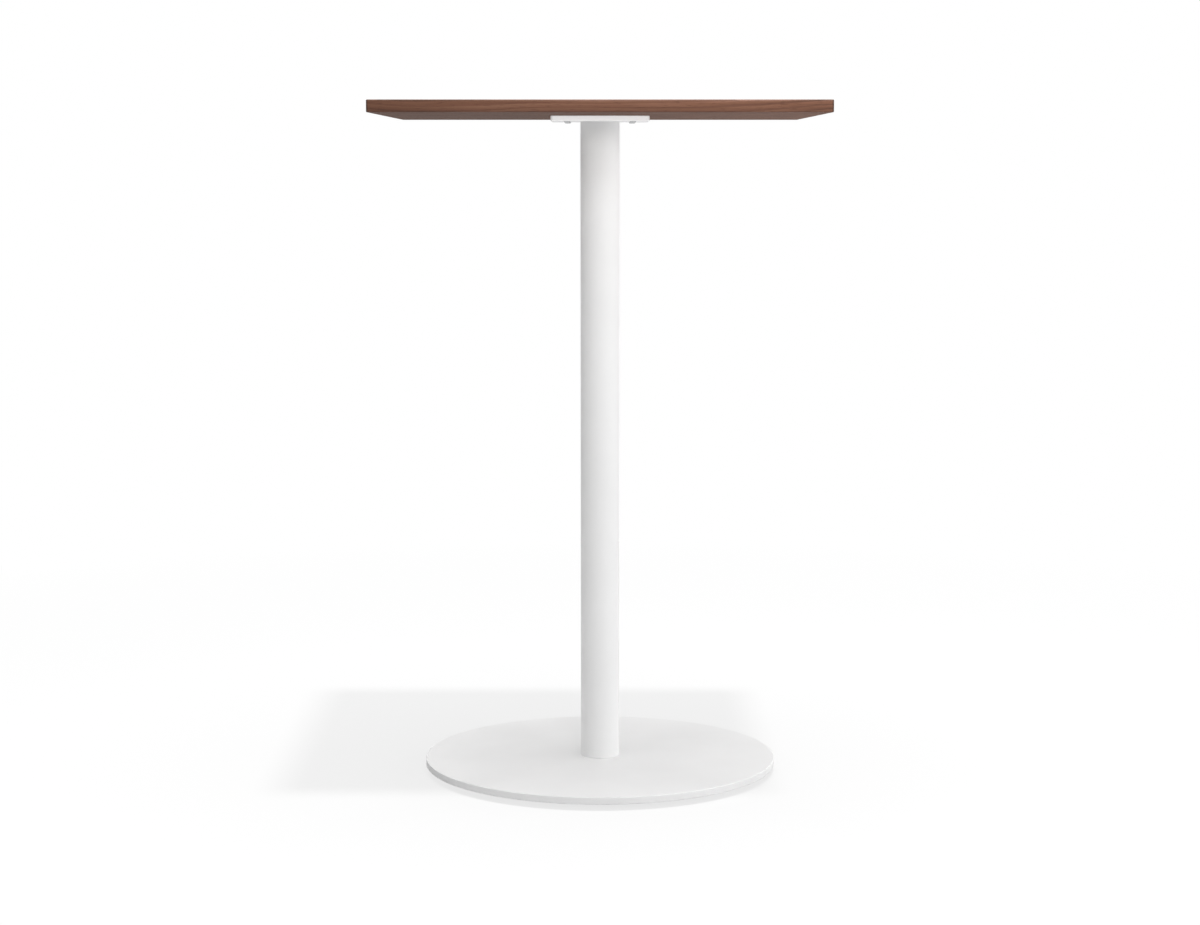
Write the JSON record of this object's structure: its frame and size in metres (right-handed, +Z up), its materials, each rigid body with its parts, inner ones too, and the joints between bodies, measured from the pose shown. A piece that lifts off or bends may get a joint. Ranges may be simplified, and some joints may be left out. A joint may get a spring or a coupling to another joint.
{
  "type": "bar table",
  "caption": "Bar-height pedestal table: square walnut-veneered top on a screwed steel plate, straight round column and flat round steel base on screw-adjusted levelling feet.",
  "frame": {"origin": "on the floor at the column's axis, midway between the feet", "axes": "+Z up along the column, +X to the right along the top's front edge, -Y towards the front"},
  "size_m": [0.66, 0.66, 1.041],
  "materials": {
    "walnut_veneer": "satin lacquer",
    "walnut_band": "satin lacquer",
    "board_core": "bare fibreboard",
    "white_coat": "satin powder coat",
    "plain_steel": "bare, oiled",
    "plated_steel": "zinc plated",
    "insert_brass": "bare",
    "pad_plastic": "moulded"
  },
  "bodies": {
    "table": {"tabletop_core": "board_core", "top_veneer": "walnut_veneer", "bottom_veneer": "walnut_veneer", "edge_band_front": "walnut_band", "edge_band_back": "walnut_band", "edge_band_left": "walnut_band", "edge_band_right": "walnut_band", "threaded_inserts": "insert_brass", "top_plate": "white_coat", "top_plate_screws": "plated_steel", "column_top_screws": "plated_steel", "column_top_plug": "plain_steel", "column_tube": "white_coat", "column_bottom_plug": "plain_steel", "column_base_screws": "plated_steel", "base_disc": "white_coat"},
    "foot_pad_1": {"foot_pad_1": "pad_plastic"},
    "foot_stud_1": {"foot_stud_1": "plated_steel"},
    "foot_pad_2": {"foot_pad_2": "pad_plastic"},
    "foot_stud_2": {"foot_stud_2": "plated_steel"},
    "foot_pad_3": {"foot_pad_3": "pad_plastic"},
    "foot_stud_3": {"foot_stud_3": "plated_steel"},
    "foot_pad_4": {"foot_pad_4": "pad_plastic"},
    "foot_stud_4": {"foot_stud_4": "plated_steel"}
  },
  "joints": [
    {"name": "foot_1_height", "type": "slide", "parent": "table", "child": "foot_pad_1", "axis": [0, 0, -1], "range_m": [0, 0.004]},
    {"name": "foot_1_turn", "type": "hinge", "parent": "foot_pad_1", "child": "foot_stud_1", "pos_m": [0.1591, 0.1591, 0], "axis": [0, 0, -1], "range_deg": [0, 1152]},
    {"name": "foot_2_height", "type": "slide", "parent": "table", "child": "foot_pad_2", "axis": [0, 0, -1], "range_m": [0, 0.004]},
    {"name": "foot_2_turn", "type": "hinge", "parent": "foot_pad_2", "child": "foot_stud_2", "pos_m": [-0.1591, 0.1591, 0], "axis": [0, 0, -1], "range_deg": [0, 1152]},
    {"name": "foot_3_height", "type": "slide", "parent": "table", "child": "foot_pad_3", "axis": [0, 0, -1], "range_m": [0, 0.004]},
    {"name": "foot_3_turn", "type": "hinge", "parent": "foot_pad_3", "child": "foot_stud_3", "pos_m": [-0.1591, -0.1591, 0], "axis": [0, 0, -1], "range_deg": [0, 1152]},
    {"name": "foot_4_height", "type": "slide", "parent": "table", "child": "foot_pad_4", "axis": [0, 0, -1], "range_m": [0, 0.004]},
    {"name": "foot_4_turn", "type": "hinge", "parent": "foot_pad_4", "child": "foot_stud_4", "pos_m": [0.1591, -0.1591, 0], "axis": [0, 0, -1], "range_deg": [0, 1152]}
  ],
  "couplings": [
    {"joint": "foot_1_turn", "follows": "foot_1_height", "rad_per_m": 5026.5},
    {"joint": "foot_2_turn", "follows": "foot_2_height", "rad_per_m": 5026.5},
    {"joint": "foot_3_turn", "follows": "foot_3_height", "rad_per_m": 5026.5},
    {"joint": "foot_4_turn", "follows": "foot_4_height", "rad_per_m": 5026.5}
  ]
}
